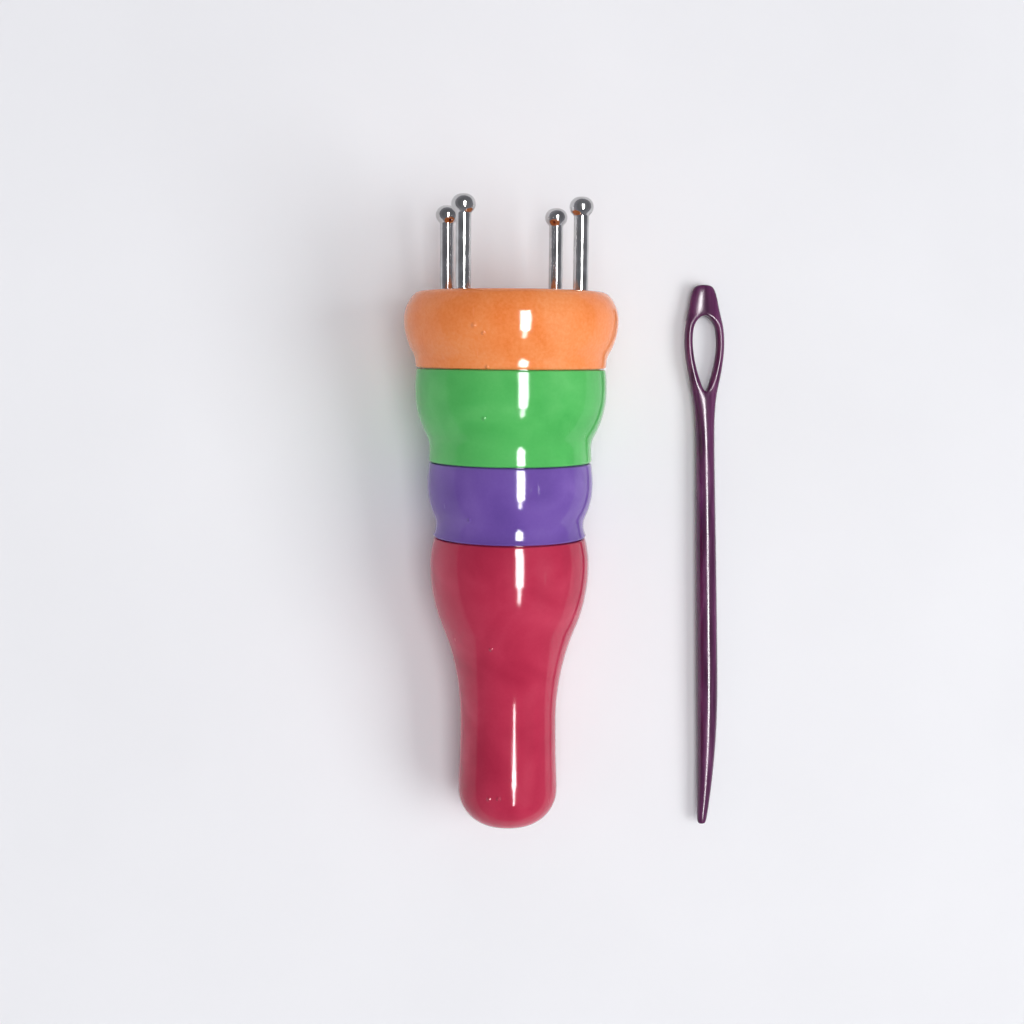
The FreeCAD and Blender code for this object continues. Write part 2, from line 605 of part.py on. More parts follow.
# Both lie on the floor, and the origin is on the floor below the middle of the set.
for group in (spool, [needle]):
    low = box_of(group).ZMin
    for body in group:
        body.Placement.move(FreeCAD.Vector(0, 0, -low))
doc.recompute()
middle = box_of(spool + [needle]).Center
for body in spool + [needle]:
    body.Placement.move(FreeCAD.Vector(-middle.x, -middle.y, 0))
doc.recompute()

for item in doc.Objects:
    if "Invalid" in item.State or "Error" in item.State:
        raise RuntimeError(f"{item.Label} didn't build: {item.getStatusString()}")
for body in spool + [needle]:
    if body.Shape.isNull() or not body.Shape.isValid() or len(body.Shape.Solids) != 1:
        raise RuntimeError(f"{body.Label} isn't one sound solid")
for body in spool + [needle]:
    body.Shape.exportStep(f"parts/{body.Label}.step")
    print(f"{body.Label}: {body.Shape.Volume:.1f} mm3")
print("lean", round(resting_lean(), 3), "box", box_of(spool + [needle]))
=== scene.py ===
# %% [markdown]
# A knitting spool for i-cord lies beside its needle, on a pale table.
# The spool is four glossy mouldings stacked on one stem: a red handle, a purple ring, a green ring
# and an orange head with four steel pegs. The needle is one plum moulding with a long eye.
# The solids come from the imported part. This lesson dresses them: it turns, casts and plates every
# piece again at render quality, in exactly the same place.

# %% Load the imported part
import json
import math

import bmesh
import bpy
from mathutils import Matrix, Vector


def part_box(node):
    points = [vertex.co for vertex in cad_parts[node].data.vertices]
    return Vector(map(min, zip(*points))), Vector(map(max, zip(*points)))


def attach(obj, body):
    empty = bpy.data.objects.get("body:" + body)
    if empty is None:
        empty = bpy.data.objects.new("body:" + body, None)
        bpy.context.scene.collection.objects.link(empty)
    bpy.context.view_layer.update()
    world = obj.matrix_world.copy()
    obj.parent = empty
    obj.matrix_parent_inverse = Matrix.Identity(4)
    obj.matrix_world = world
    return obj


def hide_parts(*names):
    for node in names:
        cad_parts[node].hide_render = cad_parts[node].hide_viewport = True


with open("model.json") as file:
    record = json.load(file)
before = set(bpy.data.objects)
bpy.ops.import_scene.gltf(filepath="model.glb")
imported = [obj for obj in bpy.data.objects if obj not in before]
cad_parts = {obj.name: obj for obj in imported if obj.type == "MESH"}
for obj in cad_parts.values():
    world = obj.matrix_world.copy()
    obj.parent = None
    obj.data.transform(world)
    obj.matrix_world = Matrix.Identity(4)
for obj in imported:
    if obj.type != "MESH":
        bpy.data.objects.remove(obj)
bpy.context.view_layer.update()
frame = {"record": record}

MM = 0.001

# %% [markdown]
# Colours are picked as sRGB hex, the way a paint chart gives them, but a shader works in linear
# light. One function turns the first into the second, so that a chip renders as it was picked.

# %% Colour and scale
def tint(chip):
    """An sRGB hex colour as linear red, green, blue and alpha."""
    parts = [int(chip[place:place + 2], 16) / 255 for place in (1, 3, 5)]
    linear = [part / 12.92 if part <= 0.04045 else ((part + 0.055) / 1.055) ** 2.4
              for part in parts]
    return (*linear, 1.0)


def per_metre(size_mm):
    """The scale of a pattern whose marks are that many millimetres apart."""
    return 1 / (size_mm * MM)


print("white chip", tint("#FFFFFF")[:3], "a 2 mm pattern has scale", per_metre(2))

# %% [markdown]
# The spool doesn't lie flat: its wide head lifts one end. Its cord channel is a mount of the packed
# part, so the lean can be read from there instead of being guessed again: the mount's point lies
# 1.4 mm inside the foot, and its axis points out of it. The matrix below stands the spool's own
# frame, foot at the origin and pegs up, in the place where the part lies.

# %% Where the spool lies
bore = next(mount for mount in frame["record"]["mounts"] if mount["name"] == "cord_bore")
MOUNT_INSIDE = 1.4 * MM
along = -Vector(bore["axis"]).normalized()
foot_centre = Vector(bore["pos_m"]) - along * MOUNT_INSIDE
across = Vector((1, 0, 0))
away = along.cross(across)
spool_place = Matrix.Translation(foot_centre) @ Matrix((across, away, along)).transposed().to_4x4()
print("lean of the spool", round(math.degrees(math.asin(along.z)), 3), "degrees")
print("foot centre in mm", [round(part / MM, 2) for part in foot_centre])

# %% [markdown]
# The photographer stood close: 24 cm above the spool's axis, a little to its left and nearer to the
# head than to the foot. That is why the seams bend so clearly. Aiming the camera at the middle of
# the picture keeps that eye point and needs no lens shift. The tiny roll is the photographer's own.

# %% The camera
FAR, ASIDE = 240 * MM, math.radians(10.4)
EYE_UP = 83.4 * MM
AIM_UP, AIM_NEARER, AIM_RIGHT = 55.15 * MM, 0.19 * MM, 0.37 * MM
ROLL = math.radians(0.469)
FOCAL_PIXELS, IMAGE_PIXELS = 1388.4, 1024
SENSOR = 36

eye = (foot_centre + along * EYE_UP
       - away * FAR * math.cos(ASIDE) - across * FAR * math.sin(ASIDE))
aim = foot_centre + along * AIM_UP - away * AIM_NEARER + across * AIM_RIGHT
back = (eye - aim).normalized()
right = along.cross(back).normalized()

camera = bpy.data.objects.new("camera", bpy.data.cameras.new("camera"))
bpy.context.collection.objects.link(camera)
camera.data.sensor_width = SENSOR
camera.data.lens = SENSOR * FOCAL_PIXELS / IMAGE_PIXELS
camera.matrix_world = (Matrix.Translation(eye)
                       @ Matrix((right, back.cross(right), back)).transposed().to_4x4()
                       @ Matrix.Rotation(ROLL, 4, "Z"))
bpy.context.scene.camera = camera
bpy.context.scene.view_settings.view_transform = "Standard"
print("lens in mm", round(camera.data.lens, 1))

# %% [markdown]
# Every material below is a chain of nodes. One small function adds a node, fills its fields and
# plugs in what feeds it, so that a recipe reads from top to bottom like a list of coats of paint.

# %% The one node helper
def add(material, kind, settings=None, links=None):
    """Add a node. Settings name a socket or a field, and stops fill a colour ramp."""
    tree = material.node_tree
    node = tree.nodes.new(f"ShaderNode{kind}")
    for name, content in (settings or {}).items():
        if name == "stops":
            ramp = node.color_ramp
            while len(ramp.elements) < len(content):
                ramp.elements.new(0.5)
            for stop, (place, colour) in zip(ramp.elements, content):
                stop.position, stop.color = place, colour
        elif isinstance(name, int) or name in node.inputs:
            node.inputs[name].default_value = content
        else:
            setattr(node, name, content)
    for name, source in (links or {}).items():
        tree.links.new(source, node.inputs[name])
    return node


def blank(name):
    """A material with no nodes in it yet."""
    material = bpy.data.materials.new(name)
    material.use_nodes = True
    material.node_tree.nodes.clear()
    return material


print("materials so far", len(bpy.data.materials))

# %% [markdown]
# The table is a sheet of matt coated paper. It should carry the shadows and nothing else, so it
# gets only a breath of mottling, in clouds about as wide as the whole set. It lies a hair below the
# part, so that the two never share a face.

# %% The table
TABLE_SIDE, TABLE_DROP = 6.0, 0.02 * MM
CLOUD_WIDE = 60


def coated_paper():
    """Matt coated paper in two tones of a cool white."""
    paper = blank("coated_paper_table")
    place = add(paper, "NewGeometry")
    cloud = add(paper, "TexNoise", {"Scale": per_metre(CLOUD_WIDE), "Detail": 3.0},
                {"Vector": place.outputs["Position"]})
    colour = add(paper, "ValToRGB", {"stops": [(0.3, tint("#EDEDF0")), (0.7, tint("#F1F1F4"))]},
                 {"Fac": cloud.outputs["Fac"]})
    shader = add(paper, "BsdfPrincipled", {"Roughness": 0.75, "Specular IOR Level": 0.2},
                 {"Base Color": colour.outputs["Color"]})
    add(paper, "OutputMaterial", links={"Surface": shader.outputs["BSDF"]})
    return paper


table_mesh = bpy.data.meshes.new("table")
half = TABLE_SIDE / 2
table_mesh.from_pydata([(-half, -half, 0), (half, -half, 0), (half, half, 0), (-half, half, 0)],
                       [], [(0, 1, 2, 3)])
table = bpy.data.objects.new("table", table_mesh)
bpy.context.collection.objects.link(table)
table.location.z = -TABLE_DROP
table.data.materials.append(coated_paper())
print("table", TABLE_SIDE, "m wide")

# %% [markdown]
# Glossy plastic and plated steel look like what surrounds them. The room is therefore a grey that
# darkens overhead, which gives each peg its dark bands. It is built like a material: the direction
# of a ray picks its height, and the height picks a colour.

# %% The room
room = bpy.data.worlds.new("studio")
bpy.context.scene.world = room
room.use_nodes = True
room.node_tree.nodes.clear()
direction = add(room, "TexCoord")
height = add(room, "SeparateXYZ", links={"Vector": direction.outputs["Generated"]})
sky = add(room, "ValToRGB",
          {"stops": [(0.0, tint("#8F8F94")), (0.2, tint("#909096")), (0.55, tint("#74757A"))]},
          {"Fac": height.outputs["Z"]})
glow = add(room, "Background", {"Strength": 1.0}, {"Color": sky.outputs["Color"]})
add(room, "OutputWorld", links={"Surface": glow.outputs["Background"]})
print("sky stops", len(sky.color_ramp.elements))

# %% [markdown]
# Two sorts of lamp share the work. The broad ones light the colours, from the front, from the right
# and faintly from the left, and are hidden from reflections. The strips are only seen in
# reflections, where they draw the bright line down the spool and the needle.

# %% The lamps
LIT_UP = 60 * MM
LAMPS = [
    # name, turn and lower in degrees, distance, width and length in m, share, mirrored
    ("key", 42, 10, 1.5, 0.8, 1.2, 0.55, False),
    ("front", -4, 0, 1.8, 1.0, 1.2, 0.5, False),
    ("fill", -60, 0, 1.8, 1.2, 1.6, 0.03, False),
    ("broad_strip", 4.5, -4.2, 0.62, 0.12, 0.49, 1.95, True),
    ("foot_strip", 4.5, 20, 0.62, 0.045, 0.2, 0.26, True),
]


def soft_box(name, turn, lower, distance, wide, long, share, mirrored):
    """A rectangular lamp that faces the spool, turned to its right and lowered to its foot.

    Share is the part of full light that it throws on a white sheet held square to it. A mirrored
    lamp shows in reflections alone, and any other shows in none.
    """
    lamp = bpy.data.objects.new(name, bpy.data.lights.new(name, "AREA"))
    bpy.context.collection.objects.link(lamp)
    lamp.data.shape = "RECTANGLE"
    lamp.data.size, lamp.data.size_y = wide, long
    lamp.data.energy = share * (math.pi * distance)**2
    lamp.visible_glossy, lamp.visible_diffuse = mirrored, not mirrored
    to_lamp = (Matrix.Rotation(math.radians(turn), 3, along)
               @ Matrix.Rotation(math.radians(lower), 3, across) @ -away)
    side = along.cross(to_lamp).normalized()
    lamp.matrix_world = (Matrix.Translation(foot_centre + along * LIT_UP + to_lamp * distance)
                         @ Matrix((side, to_lamp.cross(side), to_lamp)).transposed().to_4x4())


for lamp_row in LAMPS:
    soft_box(*lamp_row)
print("lamps", [lamp.name for lamp in bpy.data.lights])

# %% [markdown]
# Every round piece of this tool has one axis, like work from a lathe: the pins are round wire, and
# the moulds of the plastic pieces were turned. So each piece is drawn as half a cross section. An
# outline is a list of corners, radius then height in mm, and a corner with two more numbers is
# reached along an arc of that radius that bows to that side.

# %% Outlines
ARC_STEP = 0.45


def bow(start, end, radius, side):
    """Points after start on the short arc that bows left (1) or right (-1) of its way to end."""
    way = end - start
    left = Vector((-way.y, way.x)).normalized()
    half = way.length / 2
    centre = (start + end) / 2 - left * side * math.sqrt(max(radius**2 - half**2, 0))
    angle = 2 * math.asin(min(half / radius, 1))
    steps = max(3, round(angle * radius / ARC_STEP))
    return [centre + Matrix.Rotation(-side * angle * step / steps, 2) @ (start - centre)
            for step in range(1, steps + 1)]


def outline(corners):
    """The points of a closed outline."""
    points = []
    before = Vector(corners[-1][:2])
    for corner in corners:
        end = Vector(corner[:2])
        points += bow(before, end, *corner[2:]) if len(corner) == 4 else [end]
        before = end
    return points


def swell(waist, bulge, share):
    """Two arcs, lower one first, between an upright waist and an upright bulge.

    The share is the part of the way that the full arc takes. The hollow one takes the rest.
    """
    out, up = bulge[0] - waist[0], bulge[1] - waist[1]
    radii = (out**2 + up**2) / (2 * out)
    turn = (waist[0] + out * (1 - share), waist[1] + up * (1 - share))
    hollow, full = (radii * (1 - share), 1), (radii * share, -1)
    if up > 0:
        return [(*turn, *hollow), (*bulge, *full)]
    return [(*turn, *full), (*waist, *hollow)]


def upright(start, end):
    """The radius of the arc that leaves start and stands upright at end, or the other way round."""
    out, up = end[0] - start[0], end[1] - start[1]
    return (out**2 + up**2) / (2 * abs(out))


print("a quarter of a 5 mm circle takes", len(bow(Vector((5, 0)), Vector((0, 5)), 5, -1)), "steps")

# %% [markdown]
# The lathe turns an outline about its Z axis into a closed skin. Each point of the outline makes
# one ring, or a single corner where it lies on the axis, and faces join each ring to the next.

# %% The lathe
TURNS = 180
ON_AXIS = 1e-6
SHARP = math.radians(32)


def turned(name, corners, place, turns=TURNS):
    """Turn an outline about its Z axis into one closed skin."""
    mesh = bpy.data.meshes.new(name)
    shell = bmesh.new()
    rings = []
    for point in outline(corners):
        if point.x < ON_AXIS:
            rings.append([shell.verts.new((0, 0, point.y * MM))] * turns)
            continue
        ring = []
        for step in range(turns):
            angle = 2 * math.pi * step / turns
            ring.append(shell.verts.new((point.x * math.cos(angle) * MM,
                                         point.x * math.sin(angle) * MM, point.y * MM)))
        rings.append(ring)
    for row, ring in enumerate(rings):
        above = rings[(row + 1) % len(rings)]
        for step in range(turns):
            after = (step + 1) % turns
            face = dict.fromkeys((ring[step], ring[after], above[after], above[step]))
            if len(face) > 2:
                shell.faces.new(face)
    shell.transform(place)
    bmesh.ops.recalc_face_normals(shell, faces=shell.faces)
    shell.to_mesh(mesh)
    shell.free()
    mesh.shade_smooth()
    mesh.set_sharp_from_angle(angle=SHARP)
    piece = bpy.data.objects.new(name, mesh)
    bpy.context.collection.objects.link(piece)
    print(name, "has", len(mesh.polygons), "faces")
    return piece


print("a step of the lathe is", 360 / TURNS, "degrees")

# %% [markdown]
# The heights of the four mouldings stack up from the foot, and each seam is a shadow gap: the two
# mouldings meet on an inner land, and their outer edges stay a hair apart, so a dark line shows.

# %% Sizes of the stack, in mm
BORE, WALL, DECK = 4.25, 2.2, 2.4
EDGE, GAP, LAND = 0.3, 0.09, 0.9
STEM, STEM_HOLE, STEM_RISE = 6.6, 6.7, 7
PURPLE_SEAM = 50.9
GREEN_SEAM = PURPLE_SEAM + 13.05
HEAD_SEAM = GREEN_SEAM + 16.05
HEAD_TOP = HEAD_SEAM + 13
STEM_TOP = HEAD_SEAM + STEM_RISE


def lifted(rise):
    """The place of a piece whose own foot is that far up the spool."""
    return spool_place @ Matrix.Translation((0, 0, rise * MM))


def upper_edge(rim, top):
    """Over the top edge of a moulding, across its half of the shadow gap and up to the land."""
    return [(rim - EDGE, top - GAP, EDGE, -1), (rim - LAND, top - GAP), (rim - LAND, top)]


def lower_edge(base):
    """The same at the bottom, from the land outwards."""
    return [(base - LAND, 0), (base - LAND, GAP), (base - EDGE, GAP), (base, GAP + EDGE, EDGE, -1)]


print("seams at", PURPLE_SEAM, GREEN_SEAM, HEAD_SEAM, "top at", HEAD_TOP)

# %% [markdown]
# The handle is the long red moulding: a rounded foot, a slim neck and a belly that fills the palm.
# Its tubular stem runs on through both rings into the head, and stays hidden in them.

# %% The handle
FLAT, FOOT, NECK, BELLY = (5.3, 0), (8.75, 5.6), (8.45, 18.5), (13.85, 45.9)
FOOT_SHARE, BELLY_SHARE = 0.23, 0.4
HANDLE_RIM, LIP = 13.2, 0.4
CORE, CORE_DRAFT, CORE_FLOOR = 10.65, 0.6, 37.9

seam_edge = (HANDLE_RIM, PURPLE_SEAM - GAP - EDGE)
handle = turned("handle_moulding", [
    (BORE, LIP), (BORE + LIP, 0, LIP, -1), FLAT, (*FOOT, upright(FLAT, FOOT), -1),
    *swell(NECK, FOOT, FOOT_SHARE), *swell(NECK, BELLY, BELLY_SHARE),
    (*seam_edge, upright(seam_edge, BELLY), -1), *upper_edge(HANDLE_RIM, PURPLE_SEAM),
    (CORE, PURPLE_SEAM), (CORE - CORE_DRAFT, CORE_FLOOR), (STEM, CORE_FLOOR),
    (STEM, STEM_TOP - EDGE), (STEM - EDGE, STEM_TOP, EDGE, -1), (BORE, STEM_TOP),
], lifted(0))

# %% [markdown]
# Each ring is a cup, open below and closed above by a deck with a hole for the stem. It has a low
# waist and swells towards its upper seam, where it turns in by a hair.

# %% The two rings
def ring(name, seam, next_seam, base, waist, bulge, share, rim):
    """The moulding between two seams, from the radius of its base to that of its rim."""
    top = next_seam - seam
    inner = waist[0] - WALL
    edge = (rim, top - GAP - EDGE)
    return turned(name, [
        (inner, 0), *lower_edge(base), (*waist, upright((base, GAP + EDGE), waist), 1),
        *swell(waist, bulge, share), (*edge, upright(edge, bulge), -1), *upper_edge(rim, top),
        (STEM_HOLE, top), (STEM_HOLE, top - DECK), (inner, top - DECK),
    ], lifted(seam))


purple = ring("purple_ring_moulding", PURPLE_SEAM, GREEN_SEAM,
              base=13.25, waist=(12.85, 2.1), bulge=(14.35, 9.0), share=0.78, rim=14.05)
green = ring("green_ring_moulding", GREEN_SEAM, HEAD_SEAM,
             base=14.1, waist=(14.0, 2.6), bulge=(16.5, 12.3), share=0.8, rim=16.3)

# %% [markdown]
# The head flares out and rolls over into a flat top, and its middle falls away as a funnel that
# leads the finished cord into the channel. Each peg stands in a drilled seat with a small
# countersink. The lathe can't cut those, so four cutters are taken off with a Boolean modifier.

# %% The head
HEAD_HIGH = HEAD_TOP - HEAD_SEAM
HEAD_BASE, FLARE, CREST, HEAD_SHARE = 16.35, (16.4, 0.8), (18.38, 8.2), 0.75
ROLL_START, ROLL_END, ROLL_OVER = (16.67, HEAD_HIGH - 0.53), (15.44, HEAD_HIGH), 1.7
MOUTH_EDGE, FUNNEL, THROAT = 1.5, 9.25, 8.0
HUB, HUB_LIFT, HEAD_CORE, HEAD_DECK = 8.7, 0.4, 14.15, 3.0


def rounded(before, corner, after, radius, side):
    """Cut a corner back so that an arc of that radius touches both of its sides."""
    corner = Vector(corner)
    back, on = (Vector(before) - corner).normalized(), (Vector(after) - corner).normalized()
    reach = radius / math.tan(back.angle(on) / 2)
    return [tuple(corner + back * reach), (*(corner + on * reach), radius, side)]


head = turned("peg_head_moulding", [
    (HEAD_CORE, 0), *lower_edge(HEAD_BASE), FLARE, *swell(FLARE, CREST, HEAD_SHARE),
    (*ROLL_START, upright(ROLL_START, CREST), -1), (*ROLL_END, ROLL_OVER, -1),
    *rounded(ROLL_END, (FUNNEL, HEAD_HIGH), (BORE, THROAT), MOUTH_EDGE, -1),
    (BORE, THROAT), (BORE, STEM_RISE), (STEM_HOLE, STEM_RISE), (STEM_HOLE, HUB_LIFT),
    (HUB, HUB_LIFT), (HUB, HEAD_HIGH - HEAD_DECK), (HEAD_CORE, HEAD_HIGH - HEAD_DECK),
], lifted(HEAD_SEAM))

# %% [markdown]
# A peg is a plain steel pin with a rounded head, which stops the yarn from slipping off. All four
# are the same, a quarter turn apart, on a circle just inside the head's rim. Heights in a peg's own
# outline are measured from its hidden lower end.

# %% The outline of a peg
PEG, PEG_LONG, PEG_EDGE = 1.25, 24.2, 0.3
KNOB, KNOB_CURVE = 2.0, 1.65
FILLET, FILLET_LOW, FILLET_HIGH, FILLET_OUT = 0.5, 0.25, 0.1, 0.12

knob_rise = PEG_LONG - KNOB_CURVE
neck_rise = knob_rise - math.sqrt(KNOB_CURVE**2 - (PEG - KNOB + KNOB_CURVE)**2)
peg_outline = [
    (0, 0), (PEG - PEG_EDGE, 0), (PEG, PEG_EDGE, PEG_EDGE, -1), (PEG, neck_rise - FILLET_LOW),
    (PEG + FILLET_OUT, neck_rise + FILLET_HIGH, FILLET, 1),
    (KNOB, knob_rise, KNOB_CURVE, -1), (KNOB - KNOB_CURVE, PEG_LONG, KNOB_CURVE, -1),
    (0, PEG_LONG),
]
print("the head of a peg starts at", round(neck_rise, 2), "of", PEG_LONG, "mm")

# %% [markdown]
# The seat of a peg is a blind hole with a hair of play, and a small countersink at its mouth. Its
# cutter is turned like a piece, reaches past the head's top, and is thrown away after the cut.

# %% The pegs and their seats
PEG_SEAT, PEG_RING, PEG_TURNS = 9.0, 13.85, 64
FIRST_PEG, NEXT_PEG = 45, 90
PLAY, SEAT_BELOW, CUTTER_PAST = 0.03, 0.02, 1
SINK_WIDE, SINK_DEEP, SINK_PAST = 0.35, 0.25, 0.1
SEAT_OUTLINE = [
    (0, -SEAT_BELOW), (PEG + PLAY, -SEAT_BELOW), (PEG + PLAY, PEG_SEAT - SINK_DEEP),
    (PEG + SINK_WIDE, PEG_SEAT + SINK_PAST), (PEG + SINK_WIDE, PEG_SEAT + CUTTER_PAST),
    (0, PEG_SEAT + CUTTER_PAST),
]


def settle(piece):
    """Work a piece's modifiers into its mesh."""
    bpy.context.view_layer.update()
    worked = piece.evaluated_get(bpy.context.evaluated_depsgraph_get())
    piece.data = bpy.data.meshes.new_from_object(worked)
    piece.modifiers.clear()


pegs = []
for number in range(4):
    turn = math.radians(FIRST_PEG + NEXT_PEG * number)
    stand = (PEG_RING * math.cos(turn) * MM, PEG_RING * math.sin(turn) * MM, -PEG_SEAT * MM)
    place = lifted(HEAD_TOP) @ Matrix.Translation(stand)
    pegs.append(turned(f"peg_{number + 1}_pin", peg_outline, place, PEG_TURNS))
    cutter = turned("seat_cutter", SEAT_OUTLINE, place, PEG_TURNS)
    drill = head.modifiers.new("seat", "BOOLEAN")
    drill.object, drill.solver = cutter, "EXACT"
    settle(head)
    bpy.data.objects.remove(cutter)
head.data.set_sharp_from_angle(angle=SHARP)
print("head has", len(head.data.polygons), "faces after drilling")

# %% [markdown]
# The needle is modelled the way a sculptor roughs out clay: a coarse cage of rings, which a
# subdivision surface then smooths. The shank is one ring of eight corners. At the eye it forks into
# two limbs of six corners each, which share the line between them, and the limbs meet again above.

# %% Sizes of the needle, in mm
NEEDLE_LOW, NEEDLE_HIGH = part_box("needle")
HALF_LOOP = 3.95
NEEDLE_AXIS_X = NEEDLE_HIGH.x - HALF_LOOP * MM
NEEDLE_AXIS_Z = (NEEDLE_LOW.z + NEEDLE_HIGH.z) / 2
# A ring is its height, its way aside, its half width and its half thickness
SHANK = [
    (0.03, -1.4, 0.43, 0.43), (0.33, -1.38, 0.78, 0.78), (1.35, -1.3, 0.93, 0.93),
    (3.3, -1.09, 1.06, 1.06), (7.2, -0.75, 1.31, 1.31), (12.9, -0.37, 1.61, 1.61),
    (19.6, -0.1, 1.85, 1.85), (26.8, 0, 1.95, 1.95), (41.2, 0, 1.9, 1.9), (55.6, 0, 1.83, 1.83),
    (67.9, 0, 1.73, 1.71), (74.1, 0, 1.73, 1.47), (78.4, 0, 1.96, 1.26),
]
FORK, JOIN = (81.1, 0, 2.33, 1.14), (96.15, 0, 3.17, 1.12)
CROWN = [
    (97.7, 0, 2.82, 1.1), (99.35, 0, 2.54, 1.08), (100.8, 0, 2.08, 1.0), (101.6, 0, 1.25, 0.75),
]
# A step of a limb is its height, its outer edge and its inner edge
LIMBS = [
    (82.9, 2.76, 0.78), (85.4, 3.28, 1.56), (88.1, 3.74, 2.17), (90.7, 3.9, 2.37),
    (92.8, 3.8, 2.25), (94.5, 3.53, 1.86),
]
LIMB_THICK = 1.1
print("the eye lies", FORK[0], "to", JOIN[0], "mm from the tip's end")

# %% [markdown]
# Smoothing pulls a ring of corners inwards, the more so the fewer they are. So each ring is made
# larger by how much it will shrink: to 0.902 of its size with eight corners and 0.831 with six.

# %% The cage of the needle
ROUND_8, ROUND_6 = 0.902, 0.831
clay = bmesh.new()


def corner(x, y, z):
    """A corner of the cage, in mm from the needle's tip and its axis."""
    return clay.verts.new((NEEDLE_AXIS_X + x * MM, NEEDLE_LOW.y + y * MM, NEEDLE_AXIS_Z + z * MM))


def ring_of(count, y, middle, wide, thick, fit):
    """A ring of corners whose smoothed skin is an ellipse of those half sizes."""
    return [corner(middle + wide / fit * math.cos(2 * math.pi * k / count), y,
                   thick / fit * math.sin(2 * math.pi * k / count)) for k in range(count)]


def skin(lower, upper):
    """Close the wall between two rings with the same number of corners."""
    for k in range(len(lower)):
        clay.faces.new((lower[k], lower[k - 1], upper[k - 1], upper[k]))


rings = [ring_of(8, *row, ROUND_8) for row in SHANK + [FORK]]
for lower, upper in zip(rings, rings[1:]):
    skin(lower, upper)
clay.faces.new(rings[0])
crown = [ring_of(8, *row, ROUND_8) for row in [JOIN] + CROWN]
for lower, upper in zip(crown, crown[1:]):
    skin(lower, upper)
clay.faces.new(reversed(crown[-1]))
print("rings from the tip to the fork", len(rings), "and in the crown", len(crown))

# %% [markdown]
# The two limbs leave the fork side by side. On the line that they share, the heel and the peak of
# the eye are one corner each, so the smoothed eye ends in two soft points. The smoothed skin may
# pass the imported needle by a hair, so its points are held inside the needle's box.

# %% The limbs of the needle
POINT = 0.4
SMOOTHING = 3

heel = corner(0, FORK[0] - POINT, 0)
peak = corner(0, JOIN[0] + POINT, 0)
for side in (1, -1):
    half_ring = (0, 1, 2, 6, 7) if side > 0 else (4, 3, 2, 6, 5)
    walls = []
    for whole, shared in ((rings[-1], heel), (crown[0], peak)):
        halves = [whole[k] for k in half_ring]
        walls.append(halves[:3] + [shared] + halves[3:])
    for y, outer, inner in LIMBS:
        middle, wide = (outer + inner) / 2, (outer - inner) / 2
        walls.insert(-1, [corner(side * (middle + wide / ROUND_6 * math.cos(angle)), y,
                                 LIMB_THICK / ROUND_6 * math.sin(angle))
                          for angle in (k * math.pi / 3 for k in range(6))])
    for lower, upper in zip(walls, walls[1:]):
        skin(lower, upper)
bmesh.ops.recalc_face_normals(clay, faces=clay.faces)
needle_cage = bpy.data.meshes.new("needle_cage")
clay.to_mesh(needle_cage)
clay.free()
needle = bpy.data.objects.new("needle_moulding", needle_cage)
bpy.context.collection.objects.link(needle)
smooth = needle.modifiers.new("smooth", "SUBSURF")
smooth.levels = smooth.render_levels = SMOOTHING
settle(needle)
for vertex in needle.data.vertices:
    for axis in range(3):
        vertex.co[axis] = min(max(vertex.co[axis], NEEDLE_LOW[axis]), NEEDLE_HIGH[axis])
needle.data.shade_smooth()
print("needle cage has", len(needle_cage.polygons), "faces, smoothed", len(needle.data.polygons))

# %% [markdown]
# A pattern on a moulding has to follow the spool, not the table. So the recipes below first turn
# the point being shaded into the spool's own frame: Z is then the height above the foot.

# %% The spool's own frame in a material
lean_turn = spool_place.to_euler()


def on_spool(material):
    """A node whose vector is the shaded point in the spool's frame, in metres."""
    place = add(material, "TexCoord")
    return add(material, "Mapping", {"vector_type": "TEXTURE", "Location": foot_centre,
                                     "Rotation": lean_turn}, {"Vector": place.outputs["Object"]})


print("the materials turn by", [round(math.degrees(angle), 2) for angle in lean_turn])

# %% [markdown]
# The four mouldings are ABS, injection moulded in a polished steel tool. Their skin isn't perfect:
# it has a faint orange peel under a millimetre wide, hairline scratches from handling, which come
# in patches, and here and there a nib, a speck that was caught in the mould. All three are relief,
# so they are stacked as bump nodes, each on the normal of the one before.

# %% The skin of a moulding
HAIR_WIDE, PATCH_WIDE, PEEL_WIDE = 0.7, 9, 0.9
PEEL_DEEP, SCRATCH_DEEP, NIB_HIGH = 0.012 * MM, 0.03 * MM, 0.2 * MM


def scratches(plastic, spot):
    """Hairlines in patches: 1 on a hair and 0 beside it."""
    stretch = add(plastic, "Mapping", {"Scale": (1.0, 1.0, 0.12), "Rotation": (0.35, 0.9, 0.2)},
                  {"Vector": spot})
    hairs = add(plastic, "TexNoise", {"Scale": per_metre(HAIR_WIDE), "Detail": 1.0},
                {"Vector": stretch.outputs["Vector"]})
    patches = add(plastic, "TexNoise", {"Scale": per_metre(PATCH_WIDE), "Detail": 1.0},
                  {"Vector": spot})
    rubbed = add(plastic, "MapRange", {"From Min": 0.52, "From Max": 0.66},
                 {"Value": patches.outputs["Fac"]})
    line = add(plastic, "MapRange", {"From Min": 0.7, "From Max": 0.76},
               {"Value": hairs.outputs["Fac"]})
    both = add(plastic, "Math", {"operation": "MULTIPLY"},
               {0: line.outputs["Result"], 1: rubbed.outputs["Result"]})
    return both.outputs["Value"]


